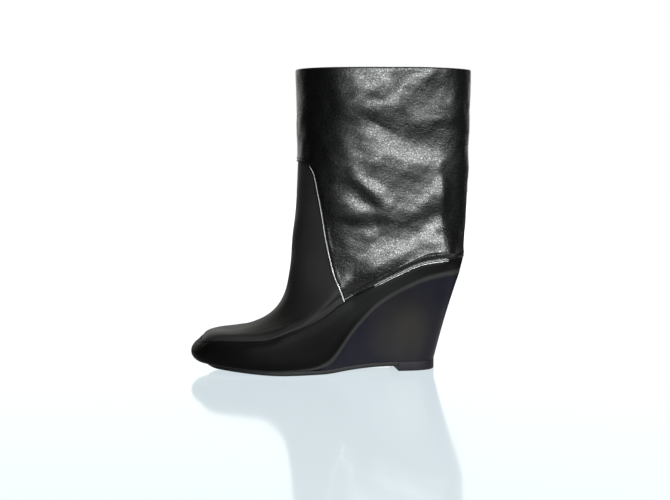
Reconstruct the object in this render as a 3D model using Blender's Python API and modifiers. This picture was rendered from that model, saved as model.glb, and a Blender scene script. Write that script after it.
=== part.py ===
"""Left wedge ankle boot in smooth black leather: a pull-on boot with a wide straight leg.

Metres, +Z up. The toe points to -X, the outer (lateral) side faces -Y, and the origin lies on the
floor under the middle of the heel lift. Along the shoe, distances are measured forward from the
back of the last, so that a distance of LAST_LENGTH is the tip of the toe.
"""

import math

import bmesh
import bpy
import numpy as np
from mathutils import Vector

# Main sizes of the boot
LAST_LENGTH = 0.2315
BALL_LATERAL = 0.0446
BALL_MEDIAL = 0.0426
SEAT_HEIGHT = 0.0855
SEAM_BACK_HEIGHT = 0.0945
SEAM_TOE_HEIGHT = 0.0252
VAMP_HEIGHT = 0.0675
COLLAR_HEIGHT = 0.2520
COLLAR_LENGTH = 0.1454
COLLAR_WIDTH = 0.0860
COLLAR_LEAN = 0.0045

# Leather, and the clearance that two pieces keep
WALL = 0.0014
PANEL = 0.0011
GAP = 0.0003

# Sole and heel lift
SOLE = 0.0032
SOLE_BACK = 0.0244
SOLE_LATERAL = 0.0415
SOLE_MEDIAL = 0.0395
TOE_OVERHANG = 0.0137
TOE_SPRING = 0.0065
LIFT = 0.0076
LIFT_LENGTH = 0.0341

# Wedge and insole
HEEL_INSET = 0.0030
WEDGE_FLARE = 0.0020
WEDGE_STEP = 0.0010
WEDGE_HOLLOW = 0.0012
INSOLE = 0.0030
INSOLE_INSET = 0.0021

# Front panel, the part of the vamp that climbs the leg
PANEL_TOP_HEIGHT = 0.1752
PANEL_FOOT_HEIGHT = 0.0590

# Places along the shoe, as shares of LAST_LENGTH, and the roundness of the leg
WEDGE_END = 0.5594
TREAD_START = 0.525
OVAL_POWER = 0.86

# How finely the curved forms are divided
COLUMNS = 56
SIDE_STEPS = 5
LIFT_STEPS = 11
EDGE_STEPS = 24

SOLE_FRONT = LAST_LENGTH - TOE_OVERHANG
LIFT_FRONT = SOLE_BACK + LIFT_LENGTH
LIFT_CENTRE = SOLE_BACK + LIFT_LENGTH / 2
WEDGE_BACK = HEEL_INSET - WEDGE_FLARE
WEDGE_FRONT = WEDGE_END * LAST_LENGTH
SOLE_TOP = SOLE + GAP

# Plan of the last: share of its length from the back, then each side as a share of its ball half
LAST_PLAN = (
    {"along": 0, "lateral": 0, "medial": 0},
    {"along": 0.015, "lateral": 0.300, "medial": 0.290},
    {"along": 0.05, "lateral": 0.520, "medial": 0.500},
    {"along": 0.10, "lateral": 0.655, "medial": 0.630},
    {"along": 0.17, "lateral": 0.710, "medial": 0.655},
    {"along": 0.25, "lateral": 0.715, "medial": 0.620},
    {"along": 0.34, "lateral": 0.700, "medial": 0.575},
    {"along": 0.43, "lateral": 0.715, "medial": 0.575},
    {"along": 0.51, "lateral": 0.785, "medial": 0.660},
    {"along": 0.58, "lateral": 0.880, "medial": 0.785},
    {"along": 0.65, "lateral": 0.965, "medial": 0.905},
    {"along": 0.72, "lateral": 1.000, "medial": 0.985},
    {"along": 0.79, "lateral": 0.975, "medial": 1.000},
    {"along": 0.86, "lateral": 0.885, "medial": 0.945},
    {"along": 0.92, "lateral": 0.750, "medial": 0.830},
    {"along": 0.965, "lateral": 0.585, "medial": 0.665},
    {"along": 0.99, "lateral": 0.380, "medial": 0.435},
    {"along": 1, "lateral": 0, "medial": 0},
)

# Plan of the sole, in the same way, from SOLE_BACK to SOLE_FRONT, where it is cut square
SOLE_PLAN = (
    {"along": 0, "lateral": 0, "medial": 0},
    {"along": 0.011, "lateral": 0.265, "medial": 0.270},
    {"along": 0.031, "lateral": 0.420, "medial": 0.425},
    {"along": 0.062, "lateral": 0.530, "medial": 0.535},
    {"along": 0.103, "lateral": 0.590, "medial": 0.585},
    {"along": 0.175, "lateral": 0.607, "medial": 0.607},
    {"along": 0.252, "lateral": 0.615, "medial": 0.587},
    {"along": 0.329, "lateral": 0.650, "medial": 0.587},
    {"along": 0.405, "lateral": 0.723, "medial": 0.658},
    {"along": 0.482, "lateral": 0.830, "medial": 0.785},
    {"along": 0.559, "lateral": 0.928, "medial": 0.900},
    {"along": 0.636, "lateral": 0.988, "medial": 0.970},
    {"along": 0.723, "lateral": 1.000, "medial": 1.000},
    {"along": 0.805, "lateral": 0.952, "medial": 0.982},
    {"along": 0.882, "lateral": 0.845, "medial": 0.905},
    {"along": 0.938, "lateral": 0.720, "medial": 0.790},
    {"along": 0.974, "lateral": 0.600, "medial": 0.660},
    {"along": 0.992, "lateral": 0.500, "medial": 0.560},
    {"along": 1, "lateral": 0.420, "medial": 0.470},
)

# Footbed: share of the heel's rise that is left along the last
FOOTBED = (
    {"along": 0, "rise": 1},
    {"along": 0.043, "rise": 0.998},
    {"along": 0.086, "rise": 0.989},
    {"along": 0.151, "rise": 0.951},
    {"along": 0.216, "rise": 0.878},
    {"along": 0.276, "rise": 0.793},
    {"along": 0.337, "rise": 0.677},
    {"along": 0.371, "rise": 0.579},
    {"along": 0.406, "rise": 0.470},
    {"along": 0.436, "rise": 0.360},
    {"along": 0.462, "rise": 0.250},
    {"along": 0.492, "rise": 0.134},
    {"along": 0.523, "rise": 0.055},
    {"along": 0.566, "rise": 0.009},
    {"along": 0.605, "rise": 0},
    {"along": 1, "rise": 0},
)

# Toe spring along the last, as a share of TOE_SPRING
SPRING = (
    {"along": 0, "rise": 0},
    {"along": 0.670, "rise": 0},
    {"along": 0.734, "rise": 0.12},
    {"along": 0.812, "rise": 0.38},
    {"along": 0.886, "rise": 0.68},
    {"along": 0.955, "rise": 1},
    {"along": 1, "rise": 1.2},
)

# Arch of the sole from the lift (0) to the tread (1), as a share of LIFT less SOLE
ARCH = (
    {"along": 0, "rise": 1},
    {"along": 0.03, "rise": 1},
    {"along": 0.26, "rise": 0.93},
    {"along": 0.50, "rise": 0.73},
    {"along": 0.74, "rise": 0.39},
    {"along": 0.90, "rise": 0.12},
    {"along": 1, "rise": 0},
)

# Long seam round the boot along the last: share of its rise from the toe to the back
SEAM = (
    {"along": 0, "rise": 1},
    {"along": 0.120, "rise": 0.972},
    {"along": 0.164, "rise": 0.950},
    {"along": 0.207, "rise": 0.905},
    {"along": 0.250, "rise": 0.838},
    {"along": 0.294, "rise": 0.770},
    {"along": 0.380, "rise": 0.625},
    {"along": 0.475, "rise": 0.455},
    {"along": 0.527, "rise": 0.330},
    {"along": 0.566, "rise": 0.262},
    {"along": 0.622, "rise": 0.190},
    {"along": 0.661, "rise": 0.148},
    {"along": 0.708, "rise": 0.093},
    {"along": 0.739, "rise": 0.068},
    {"along": 0.795, "rise": 0.056},
    {"along": 0.894, "rise": 0.048},
    {"along": 0.946, "rise": 0.034},
    {"along": 0.965, "rise": 0},
    {"along": 1, "rise": 0},
)

# One row for each ring of the upper, from the sole up. front is a share of LAST_LENGTH. Up to the
# seam, back is a share of HEEL_INSET, height is the share of the way from the footbed to the seam
# and lateral and medial are shares of the last's own halves. From there on, rise is the front's
# height, where 0 to 1 climbs the vamp and 1 to 2 the leg, heel is the back's share of the way from
# the seam to the collar, and half and back are the width's share of the last's at the front and
# at the back. oval turns the last's plan into an oval, and top is how much of the collar's own size
# the ring has.
LOWER_RINGS = (
    {"front": 0.9503, "back": 1.00, "height": 0.00, "lateral": 0.935, "medial": 0.930},
    {"front": 0.9790, "back": 0.90, "height": 0.05, "lateral": 0.965, "medial": 0.963},
    {"front": 0.9905, "back": 0.77, "height": 0.24, "lateral": 0.994, "medial": 0.994},
    {"front": 0.9920, "back": 0.60, "height": 0.45, "lateral": 1.000, "medial": 1.000},
    {"front": 0.9840, "back": 0.38, "height": 0.73, "lateral": 0.993, "medial": 0.993},
    {"front": 0.9620, "back": 0.18, "height": 1.00, "lateral": 0.955, "medial": 0.953},
)
UPPER_RINGS = (
    {"front": 0.961, "rise": 0.393, "heel": 0.009, "half": 0.952, "back": 0.953, "oval": 0.00, "top": 0.00},
    {"front": 0.956, "rise": 0.425, "heel": 0.016, "half": 0.940, "back": 0.952, "oval": 0.02, "top": 0.00},
    {"front": 0.941, "rise": 0.480, "heel": 0.028, "half": 0.903, "back": 0.948, "oval": 0.06, "top": 0.00},
    {"front": 0.916, "rise": 0.503, "heel": 0.040, "half": 0.850, "back": 0.944, "oval": 0.12, "top": 0.00},
    {"front": 0.862, "rise": 0.516, "heel": 0.053, "half": 0.795, "back": 0.940, "oval": 0.25, "top": 0.00},
    {"front": 0.795, "rise": 0.558, "heel": 0.068, "half": 0.760, "back": 0.935, "oval": 0.42, "top": 0.01},
    {"front": 0.725, "rise": 0.655, "heel": 0.090, "half": 0.745, "back": 0.930, "oval": 0.60, "top": 0.03},
    {"front": 0.680, "rise": 0.810, "heel": 0.117, "half": 0.745, "back": 0.920, "oval": 0.77, "top": 0.07},
    {"front": 0.653, "rise": 1.000, "heel": 0.156, "half": 0.750, "back": 0.880, "oval": 0.90, "top": 0.12},
    {"front": 0.646, "rise": 1.080, "heel": 0.207, "half": 0.755, "back": 0.820, "oval": 1.00, "top": 0.20},
    {"front": 0.642, "rise": 1.175, "heel": 0.270, "half": 0.765, "back": 0.800, "oval": 1.00, "top": 0.32},
    {"front": 0.635, "rise": 1.310, "heel": 0.372, "half": 0.785, "back": 0.800, "oval": 1.00, "top": 0.50},
    {"front": 0.610, "rise": 1.500, "heel": 0.520, "half": 0.820, "back": 0.820, "oval": 1.00, "top": 0.72},
    {"front": 0.577, "rise": 1.620, "heel": 0.630, "half": 0.850, "back": 0.850, "oval": 1.00, "top": 0.82},
    {"front": 0.544, "rise": 1.780, "heel": 0.790, "half": 0.900, "back": 0.900, "oval": 1.00, "top": 0.92},
    {"front": 0.544, "rise": 2.000, "heel": 1.000, "half": 0.900, "back": 0.900, "oval": 1.00, "top": 1.00},
)

# Edge of the leg beside the front panel, from its foot on the seam (0) to the panel's top (1)
PANEL_EDGE = (
    {"rise": 0, "along": 0.459},
    {"rise": 0.096, "along": 0.477},
    {"rise": 0.200, "along": 0.496},
    {"rise": 0.322, "along": 0.5105},
    {"rise": 0.449, "along": 0.5235},
    {"rise": 0.577, "along": 0.533},
    {"rise": 0.699, "along": 0.5425},
    {"rise": 0.806, "along": 0.552},
    {"rise": 0.880, "along": 0.558},
    {"rise": 0.922, "along": 0.5635},
    {"rise": 0.965, "along": 0.574},
    {"rise": 0.990, "along": 0.5915},
    {"rise": 1, "along": 0.612},
)


def smooth(rows, column, share, key="along"):
    """Reads a column of a table at a share, along a curve that passes its rows and never overshoots."""
    x = [row[key] for row in rows]
    y = [row[column] for row in rows]
    step = np.diff(x)
    slope = np.diff(y) / step
    tangent = np.zeros(len(x))
    for i in range(1, len(x) - 1):
        if slope[i - 1] * slope[i] > 0:
            tangent[i] = 2 / (1 / slope[i - 1] + 1 / slope[i])
    tangent[0] = slope[0]
    tangent[-1] = slope[-1]
    i = int(np.clip(np.searchsorted(x, share) - 1, 0, len(step) - 1))
    t = min(max((share - x[i]) / step[i], 0.0), 1.0)
    return float(
        (1 + 2 * t) * (1 - t) ** 2 * y[i]
        + t * (1 - t) ** 2 * step[i] * tangent[i]
        + t * t * (3 - 2 * t) * y[i + 1]
        + t * t * (t - 1) * step[i] * tangent[i + 1]
    )


def mix(a, b, share):
    return a + (b - a) * share


def turned(rows):
    """The plan with its stations as angles, so that round ends stay round between the rows."""
    return [{**row, "along": math.acos(1 - 2 * row["along"])} for row in rows]


LAST_ANGLES = turned(LAST_PLAN)
SOLE_ANGLES = turned(SOLE_PLAN)


def plan_half(angles, side, share):
    """Half width of a plan, as a share of its ball half, at a share of its length."""
    return smooth(angles, side, math.acos(1 - 2 * min(max(share, 0.0), 1.0)))


def place(along, across, height):
    """A point of the shoe in the world: across is positive towards the inner side."""
    return Vector((LIFT_CENTRE - along, across, height))


def spring_height(along):
    return TOE_SPRING * smooth(SPRING, "rise", along / LAST_LENGTH)


def arch_height(along):
    share = (along - LIFT_FRONT) / (TREAD_START * LAST_LENGTH - LIFT_FRONT)
    return (LIFT - SOLE) * smooth(ARCH, "rise", share)


def sole_bottom(along):
    return arch_height(along) + spring_height(along)


def feather_height(along):
    """Height of the footbed's edge, where the upper's wall ends."""
    rise = smooth(FOOTBED, "rise", along / LAST_LENGTH)
    return SOLE_TOP + spring_height(along) + rise * (SEAT_HEIGHT - SOLE_TOP)


def seam_height(along):
    return mix(SEAM_TOE_HEIGHT, SEAM_BACK_HEIGHT, smooth(SEAM, "rise", along / LAST_LENGTH))


def around(angle):
    """Share of the length, and side, at an angle round a ring: 0 is the toe and pi the heel."""
    return (1 + math.cos(angle)) / 2, "lateral" if math.sin(angle) >= 0 else "medial"


def signed(side, half):
    return -half if side == "lateral" else half


def lower_ring(row, angle):
    """A point of a ring between the sole and the seam."""
    share, side = around(angle)
    along = mix(row["back"] * HEEL_INSET, row["front"] * LAST_LENGTH, share)
    ball = BALL_LATERAL if side == "lateral" else BALL_MEDIAL
    half = row[side] * ball * plan_half(LAST_ANGLES, side, share)
    height = mix(feather_height(along), seam_height(along), row["height"])
    return along, signed(side, half), height


def front_height(rise):
    if rise <= 1:
        return rise * VAMP_HEIGHT
    return mix(VAMP_HEIGHT, COLLAR_HEIGHT, rise - 1)


def upper_ring(row, angle):
    """A point of a ring between the seam and the collar."""
    share, side = around(angle)
    oval = math.copysign(abs(math.cos(angle)) ** OVAL_POWER, math.cos(angle))
    share = mix(share, (1 + oval) / 2, row["oval"])
    front = mix(row["front"] * LAST_LENGTH, COLLAR_LENGTH - COLLAR_LEAN, row["top"])
    back = -COLLAR_LEAN * row["top"]
    along = mix(back, front, share)
    ball = BALL_LATERAL if side == "lateral" else BALL_MEDIAL
    last_half = mix(row["back"], row["half"], share) * ball
    plan = last_half * plan_half(LAST_ANGLES, side, share)
    round_half = mix(last_half, COLLAR_WIDTH / 2, row["top"])
    half = mix(plan, round_half * abs(math.sin(angle)) ** OVAL_POWER, row["oval"])
    front_rise = front_height(row["rise"]) - seam_height(front)
    heel_rise = row["heel"] * (COLLAR_HEIGHT - SEAM_BACK_HEIGHT)
    curved = seam_height(along) + mix(heel_rise, front_rise, share)
    straight = mix(SEAM_BACK_HEIGHT + heel_rise, front_height(row["rise"]), share)
    return along, signed(side, half), mix(curved, straight, min(1.0, row["top"] * 1.4))


def ring_points(number):
    """The points of one ring of the upper, counted from the sole."""
    points = []
    for column in range(COLUMNS):
        angle = 2 * math.pi * column / COLUMNS
        if number < len(LOWER_RINGS):
            points.append(place(*lower_ring(LOWER_RINGS[number], angle)))
        else:
            points.append(place(*upper_ring(UPPER_RINGS[number - len(LOWER_RINGS)], angle)))
    return points


SEAM_RING = len(LOWER_RINGS) - 1
COLLAR_RING = SEAM_RING + len(UPPER_RINGS)


def collection(name):
    made = bpy.data.collections.new(name)
    bpy.context.scene.collection.children.link(made)
    return made


def material(name, colour, roughness):
    made = bpy.data.materials.new(name)
    made.use_nodes = True
    shader = made.node_tree.nodes["Principled BSDF"]
    shader.inputs["Base Color"].default_value = (*colour, 1)
    shader.inputs["Roughness"].default_value = roughness
    shader.inputs["Metallic"].default_value = 0
    return made


def add_object(name, mesh, finish, group):
    obj = bpy.data.objects.new(name, mesh)
    obj.data.materials.append(finish)
    group.objects.link(obj)
    return obj


def loft(name, rings, caps=False):
    """A skin through rings of equally many points. Points that meet are merged."""
    bm = bmesh.new()
    made = [[bm.verts.new(point) for point in ring] for ring in rings]
    for below, above in zip(made, made[1:]):
        for i in range(len(below)):
            j = (i + 1) % len(below)
            bm.faces.new((below[i], below[j], above[j], above[i]))
    if caps:
        bm.faces.new(made[0])
        bm.faces.new(made[-1])
    bmesh.ops.remove_doubles(bm, verts=bm.verts, dist=1e-6)
    bmesh.ops.recalc_face_normals(bm, faces=bm.faces)
    mesh = bpy.data.meshes.new(name)
    bm.to_mesh(mesh)
    bm.free()
    mesh.shade_smooth()
    return mesh


def upper_skin(name, first, last, offset=0.0):
    """The upper's surface between two rings, moved out by offset."""
    rings = [ring_points(number) for number in range(first, last + 1)]
    bm = bmesh.new()
    made = [[bm.verts.new(point) for point in ring] for ring in rings]
    for below, above in zip(made, made[1:]):
        for i in range(COLUMNS):
            j = (i + 1) % COLUMNS
            bm.faces.new((below[i], below[j], above[j], above[i]))
    bm.normal_update()
    for vert in bm.verts:
        vert.co += vert.normal * offset
    bmesh.ops.triangulate(bm, faces=bm.faces, quad_method="FIXED")
    mesh = bpy.data.meshes.new(name)
    bm.to_mesh(mesh)
    bm.free()
    mesh.shade_smooth()
    return mesh


def thicken(obj, thickness, outwards):
    modifier = obj.modifiers.new("Thickness", "SOLIDIFY")
    modifier.thickness = thickness
    modifier.offset = 1 if outwards else -1
    modifier.use_quality_normals = True


def make_upper(finish, group):
    """The inner body of the boot, open at the collar and, inside the feather line, at the sole."""
    obj = add_object("upper", upper_skin("upper", 0, COLLAR_RING), finish, group)
    thicken(obj, WALL, outwards=False)
    return obj


def make_foxing(finish, group):
    """The lower band of leather, from just above the sole up to the seam."""
    obj = add_object("foxing", upper_skin("foxing", 1, SEAM_RING, GAP), finish, group)
    thicken(obj, PANEL, outwards=True)
    return obj


def panel_cutter(group):
    """A block through the boot whose back edge is the leg's edge beside the front panel."""
    outline = []
    for i in range(EDGE_STEPS + 1):
        rise = i / EDGE_STEPS
        along = LAST_LENGTH * smooth(PANEL_EDGE, "along", rise, "rise")
        outline.append((along, mix(PANEL_FOOT_HEIGHT, PANEL_TOP_HEIGHT, rise)))
    clear = LAST_LENGTH + BALL_LATERAL
    outline += [(clear, PANEL_TOP_HEIGHT), (clear, -SOLE), (outline[0][0], -SOLE)]
    curve = bpy.data.curves.new("panel_cutter", "CURVE")
    curve.dimensions = "2D"
    curve.fill_mode = "BOTH"
    curve.extrude = COLLAR_WIDTH
    spline = curve.splines.new("POLY")
    spline.points.add(len(outline) - 1)
    spline.use_cyclic_u = True
    for point, (along, height) in zip(spline.points, outline):
        point.co = (LIFT_CENTRE - along, height, 0, 1)
    flat = bpy.data.objects.new("panel_outline", curve)
    flat.rotation_euler = (math.pi / 2, 0, 0)
    group.objects.link(flat)
    bpy.context.view_layer.update()
    mesh = bpy.data.meshes.new_from_object(flat.evaluated_get(bpy.context.evaluated_depsgraph_get()))
    bm = bmesh.new()
    bm.from_mesh(mesh)
    bmesh.ops.remove_doubles(bm, verts=bm.verts, dist=1e-6)
    bmesh.ops.recalc_face_normals(bm, faces=bm.faces)
    bm.to_mesh(mesh)
    bm.free()
    cutter = bpy.data.objects.new("panel_cutter", mesh)
    cutter.matrix_world = flat.matrix_world
    group.objects.link(cutter)
    bpy.data.objects.remove(flat)
    cutter.hide_render = True
    cutter.display_type = "WIRE"
    return cutter


def make_leg(finish, group, cutters):
    """The wide leg, laid over the upper from the seam to the collar and open over the front panel."""
    obj = add_object("leg", upper_skin("leg", SEAM_RING + 1, COLLAR_RING, GAP), finish, group)
    thicken(obj, PANEL, outwards=True)
    cut = obj.modifiers.new("Front panel", "BOOLEAN")
    cut.operation = "DIFFERENCE"
    cut.solver = "EXACT"
    cut.object = panel_cutter(cutters)
    return obj


def footbed_stations():
    """Where the sections of the footbed lie, level with the points of the upper's lowest ring."""
    front = LOWER_RINGS[0]["front"] * LAST_LENGTH
    count = COLUMNS // 2
    return [mix(HEEL_INSET, front, (1 - math.cos(math.pi * i / count)) / 2) for i in range(count + 1)]


def wedge_stations():
    """The footbed's stations over the wedge, with its back and front edges."""
    return [WEDGE_BACK] + [along for along in footbed_stations() if along < WEDGE_FRONT] + [WEDGE_FRONT]


def wedge_foot(top):
    """Where the section of the wedge under this point of the footbed meets the sole."""
    return mix(SOLE_BACK, WEDGE_FRONT, (top - WEDGE_BACK) / (WEDGE_FRONT - WEDGE_BACK))


def plate_section(along, lateral, medial, bottom, top):
    """One section across a plate, as a closed loop of points."""
    steps = [i / SIDE_STEPS for i in range(SIDE_STEPS + 1)]
    lower = [place(along, mix(-lateral, medial, s), bottom) for s in steps]
    upper = [place(along, mix(medial, -lateral, s), top) for s in steps]
    return lower + upper


def sole_halves(along):
    share = (along - SOLE_BACK) / (SOLE_FRONT - SOLE_BACK)
    return (
        SOLE_LATERAL * plan_half(SOLE_ANGLES, "lateral", share),
        SOLE_MEDIAL * plan_half(SOLE_ANGLES, "medial", share),
    )


def feather_halves(along, inset):
    """Half widths of the outline of the upper's lower edge, drawn in by inset all round."""
    row = LOWER_RINGS[0]
    back = HEEL_INSET + inset
    share = (along - back) / (row["front"] * LAST_LENGTH - inset - back)
    halves = []
    for side, ball in (("lateral", BALL_LATERAL), ("medial", BALL_MEDIAL)):
        plan = plan_half(LAST_ANGLES, side, share)
        halves.append(row[side] * ball * plan - inset * min(1.0, plan * 2))
    return halves


def make_outsole(finish, group):
    """Thin sole from the lift's front face, under the arch and the ball, to the toe."""
    first = LIFT_FRONT + GAP
    under_wedge = [wedge_foot(top) for top in wedge_stations()]
    last = SOLE_FRONT - SOLE
    nose = [mix(last, SOLE_FRONT, math.sin(math.pi / 2 * i / SIDE_STEPS)) for i in range(SIDE_STEPS + 1)]
    ahead = [along for along in footbed_stations() if WEDGE_FRONT < along < last - SOLE]
    alongs = [first] + [along for along in under_wedge if along > first] + ahead + nose
    sections = []
    for along in alongs:
        bottom = sole_bottom(along)
        sections.append(plate_section(along, *sole_halves(along), bottom, bottom + SOLE))
    return add_object("outsole", loft("outsole", sections, caps=True), finish, group)


def make_heel_lift(finish, group):
    sections = []
    for i in range(LIFT_STEPS + 1):
        along = SOLE_BACK + LIFT_LENGTH * (1 - math.cos(math.pi / 2 * i / LIFT_STEPS))
        sections.append(plate_section(along, *sole_halves(along), 0.0, LIFT))
    return add_object("heel_lift", loft("heel_lift", sections, caps=True), finish, group)


def wedge_section(top):
    """A leaning section of the wedge: its foot is on the sole and its top on the footbed."""
    foot = wedge_foot(top)
    share = (top - WEDGE_BACK) / (WEDGE_FRONT - WEDGE_BACK)
    foot_height = sole_bottom(foot) + SOLE + GAP
    top_height = feather_height(top) - GAP
    foot_halves = sole_halves(foot)
    top_halves = feather_halves(top, WEDGE_STEP * share - WEDGE_FLARE)
    hollow = WEDGE_HOLLOW * (top_height - foot_height) / SEAT_HEIGHT * min(1.0, share * 20)

    def side(index, sign):
        points = []
        for i in range(SIDE_STEPS + 1):
            up = i / SIDE_STEPS
            half = mix(foot_halves[index], top_halves[index], up) - hollow * math.sin(math.pi * up)
            points.append(place(mix(foot, top, up), sign * half, mix(foot_height, top_height, up)))
        return points

    return side(0, -1) + side(1, 1)[::-1]


def make_wedge(finish, group):
    sections = [wedge_section(top) for top in wedge_stations()]
    return add_object("wedge_heel", loft("wedge_heel", sections, caps=True), finish, group)


def make_insole(finish, group):
    """The insole fills the upper's lower opening."""
    stations = footbed_stations()
    back = stations[0] + INSOLE_INSET
    front = stations[-1] - INSOLE_INSET
    sections = []
    for along in [back] + [along for along in stations if back < along < front] + [front]:
        bottom = feather_height(along)
        halves = feather_halves(along, INSOLE_INSET)
        sections.append(plate_section(along, *halves, bottom, bottom + INSOLE))
    return add_object("insole", loft("insole", sections, caps=True), finish, group)


def main():
    for obj in list(bpy.data.objects):
        bpy.data.objects.remove(obj)
    boot = collection("wedge_ankle_boot")
    cutters = collection("cutters")
    smooth_leather = material("smooth_black_leather", (0.012, 0.012, 0.013), 0.36)
    leg_leather = material("grained_black_leather", (0.014, 0.015, 0.015), 0.30)
    wedge_leather = material("covered_wedge_leather", (0.011, 0.011, 0.014), 0.40)
    rubber = material("black_rubber", (0.020, 0.020, 0.021), 0.55)
    sole_leather = material("black_sole", (0.016, 0.016, 0.017), 0.45)
    lining = material("black_lining", (0.025, 0.023, 0.022), 0.60)
    make_upper(smooth_leather, boot)
    make_leg(leg_leather, boot, cutters)
    make_foxing(smooth_leather, boot)
    make_wedge(wedge_leather, boot)
    make_outsole(sole_leather, boot)
    make_heel_lift(rubber, boot)
    make_insole(lining, boot)


main()
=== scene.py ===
"""Looks of the left wedge ankle boot in black leather, on a white studio floor.

Lengths are metres in the frame of the solids: the toe points to -X and the outer side faces -Y.
Along the shoe, distances are measured forward from the back of the last. Angles run round the boot
from the toe (0) over the outer side to the heel (pi) and back over the inner side.
"""

import math

import bmesh
import bpy
import numpy as np
from mathutils import Matrix, Vector


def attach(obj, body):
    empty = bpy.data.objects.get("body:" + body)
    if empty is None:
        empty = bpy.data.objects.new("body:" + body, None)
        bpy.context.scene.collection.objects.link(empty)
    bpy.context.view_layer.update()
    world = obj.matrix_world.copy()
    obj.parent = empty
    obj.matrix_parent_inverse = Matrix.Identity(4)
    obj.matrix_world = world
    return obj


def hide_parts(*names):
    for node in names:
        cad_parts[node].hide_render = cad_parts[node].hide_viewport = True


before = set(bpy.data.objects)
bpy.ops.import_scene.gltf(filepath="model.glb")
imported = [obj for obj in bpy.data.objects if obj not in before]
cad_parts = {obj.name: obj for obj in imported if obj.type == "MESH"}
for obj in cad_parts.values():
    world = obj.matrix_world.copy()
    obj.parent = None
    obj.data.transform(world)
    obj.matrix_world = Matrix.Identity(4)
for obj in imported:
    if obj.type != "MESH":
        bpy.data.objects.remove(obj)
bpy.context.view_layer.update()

# Main sizes of the boot, as in the solids
LAST_LENGTH = 0.2315
BALL_LATERAL = 0.0446
BALL_MEDIAL = 0.0426
SEAT_HEIGHT = 0.0855
SEAM_BACK_HEIGHT = 0.0945
SEAM_TOE_HEIGHT = 0.0252
VAMP_HEIGHT = 0.0675
COLLAR_HEIGHT = 0.2520
COLLAR_LENGTH = 0.1454
COLLAR_WIDTH = 0.0860
COLLAR_LEAN = 0.0045
WALL = 0.0014
PANEL = 0.0011
GAP = 0.0003
SOLE = 0.0032
SOLE_BACK = 0.0244
SOLE_LATERAL = 0.0415
SOLE_MEDIAL = 0.0395
TOE_OVERHANG = 0.0137
TOE_SPRING = 0.0065
LIFT = 0.0076
LIFT_LENGTH = 0.0341
HEEL_INSET = 0.0030
WEDGE_FLARE = 0.0020
WEDGE_STEP = 0.0010
WEDGE_HOLLOW = 0.0012
INSOLE = 0.0030
INSOLE_INSET = 0.0021
PANEL_TOP_HEIGHT = 0.1752
PANEL_FOOT_HEIGHT = 0.0590
WEDGE_END = 0.5594
TREAD_START = 0.525
OVAL_POWER = 0.86

SOLE_FRONT = LAST_LENGTH - TOE_OVERHANG
LIFT_FRONT = SOLE_BACK + LIFT_LENGTH
LIFT_CENTRE = SOLE_BACK + LIFT_LENGTH / 2
WEDGE_BACK = HEEL_INSET - WEDGE_FLARE
WEDGE_FRONT = WEDGE_END * LAST_LENGTH
SOLE_TOP = SOLE + GAP
OUTER = GAP + PANEL

# The photograph's camera: where it stands, and where it looks
CAMERA_PLACE = (-0.2016, -1.1221, 0.1766)
CAMERA_AZIMUTH = -6.8
CAMERA_PITCH = 3.854
CAMERA_LENS = 71.8

# The floor's own light, its brightness where the leather mirrors it, how far that reaches along and
# across, and the brightness of the room and of the backdrop in the leather, with how squarely a
# reflection has to face the backdrop to start and to end its change from one to the other
FLOOR_GLOW = (0.58, 0.66, 0.70, 1)
FLOOR_IN_LEATHER = 0.65
FLOOR_REACH = (0.42, 0.20, 1)
ROOM_LIGHT = 0.015
BACKDROP_LIGHT = 0.9
BACKDROP_START = 0.45
BACKDROP_FULL = 0.9

# The soft lights' colour, and the point of the boot that they face
LIGHT_COLOUR = (0.96, 1.0, 0.985)
LIGHT_TARGET = (-0.03, 0, 0.12)

# Thread: its thickness, its rows' distance in from the edge, and the part of the pitch that it covers
THREAD = 0.0008
COVER_STITCH = 0.0019
LEG_STITCH = 0.0040
STITCH_PITCH = 0.0029
STITCH_ENDS = (0.14, 0.86)

# How finely the skins are divided, and over how many of its levels a skin is softened
ANGLE_STEPS = 1440
LEVEL_STEPS = 20
SOFTENING = 12
SCAN_LEVELS = 641
SCAN_ANGLES = 720
HALVINGS = 18
FRONT_COLUMNS = 16
REST_COLUMNS = 160
LOWER_ROWS = 98
UPPER_ROWS = 60
VAMP_COLUMNS = 300
VAMP_ROWS = (10, 56, 40, 40)
COVER_COLUMNS = 480
COVER_ROWS = 84
COVER_STEPS = 60
RIDGE_STEPS = 24
SOLE_STATIONS = 150
LIFT_STATIONS = 60
INSOLE_STATIONS = 90
PLATE_COLUMNS = 24


def table(names, *rows):
    """The columns of a table by name."""
    return dict(zip(names.split(), np.array(rows, float).T))


# Plan of the last: share of its length from the back, then each side as a share of its ball half
LAST_PLAN = table(
    "along lateral medial",
    (0, 0, 0),
    (0.015, 0.300, 0.290),
    (0.05, 0.520, 0.500),
    (0.10, 0.655, 0.630),
    (0.17, 0.710, 0.655),
    (0.25, 0.715, 0.620),
    (0.34, 0.700, 0.575),
    (0.43, 0.715, 0.575),
    (0.51, 0.785, 0.660),
    (0.58, 0.880, 0.785),
    (0.65, 0.965, 0.905),
    (0.72, 1.000, 0.985),
    (0.79, 0.975, 1.000),
    (0.86, 0.885, 0.945),
    (0.92, 0.750, 0.830),
    (0.965, 0.585, 0.665),
    (0.99, 0.380, 0.435),
    (1, 0, 0),
)

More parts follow.
